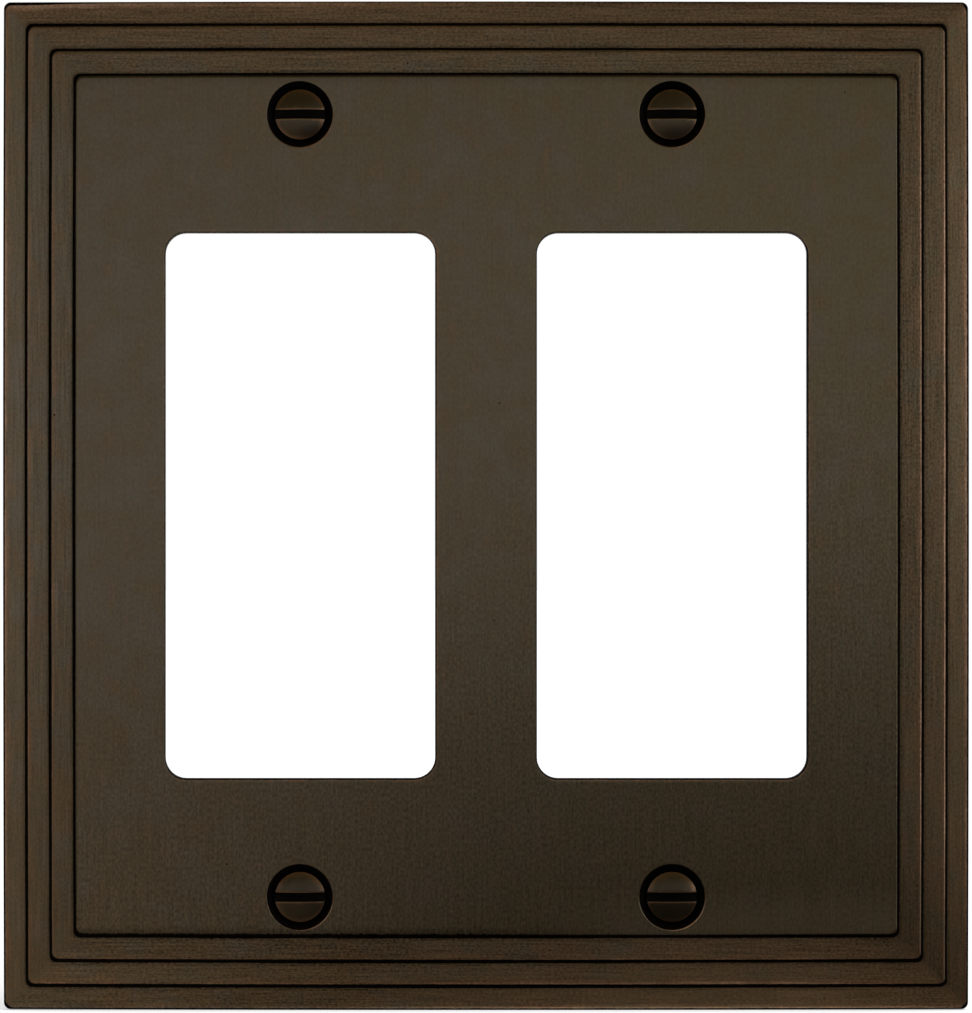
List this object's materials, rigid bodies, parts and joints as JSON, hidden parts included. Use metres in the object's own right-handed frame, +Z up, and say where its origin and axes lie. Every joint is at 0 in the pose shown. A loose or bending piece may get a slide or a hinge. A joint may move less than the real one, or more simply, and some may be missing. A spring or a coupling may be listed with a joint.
{
  "type": "wall plate cover",
  "caption": "Stepped bronze wall plate with rocker openings side by side, held over ganged electrical devices by slotted oval-head screws in countersunk holes.",
  "frame": {"origin": "middle of the screw pattern, on the wall plane that the rim lies on", "axes": "+Z up as hung, +X to the right seen from the front, +Y into the wall; the face looks along -Y"},
  "size_m": [0.12, 0.0137, 0.1254],
  "materials": {
    "plate_bronze": "brushed, dark oil-rubbed bronze with coppery edges and black recesses",
    "screw_bronze": "dark oil-rubbed bronze over steel"
  },
  "bodies": {
    "plate": {"cover_plate": "plate_bronze"},
    "screw_upper_left": {"screw_upper_left": "screw_bronze"},
    "screw_upper_right": {"screw_upper_right": "screw_bronze"},
    "screw_lower_left": {"screw_lower_left": "screw_bronze"},
    "screw_lower_right": {"screw_lower_right": "screw_bronze"}
  },
  "joints": [
    {"name": "upper_left_withdraw", "type": "slide", "parent": "plate", "child": "screw_upper_left", "axis": [0, -1, 0], "range_m": [0, 0.025]},
    {"name": "upper_right_withdraw", "type": "slide", "parent": "plate", "child": "screw_upper_right", "axis": [0, -1, 0], "range_m": [0, 0.025]},
    {"name": "lower_left_withdraw", "type": "slide", "parent": "plate", "child": "screw_lower_left", "axis": [0, -1, 0], "range_m": [0, 0.025]},
    {"name": "lower_right_withdraw", "type": "slide", "parent": "plate", "child": "screw_lower_right", "axis": [0, -1, 0], "range_m": [0, 0.025]}
  ]
}
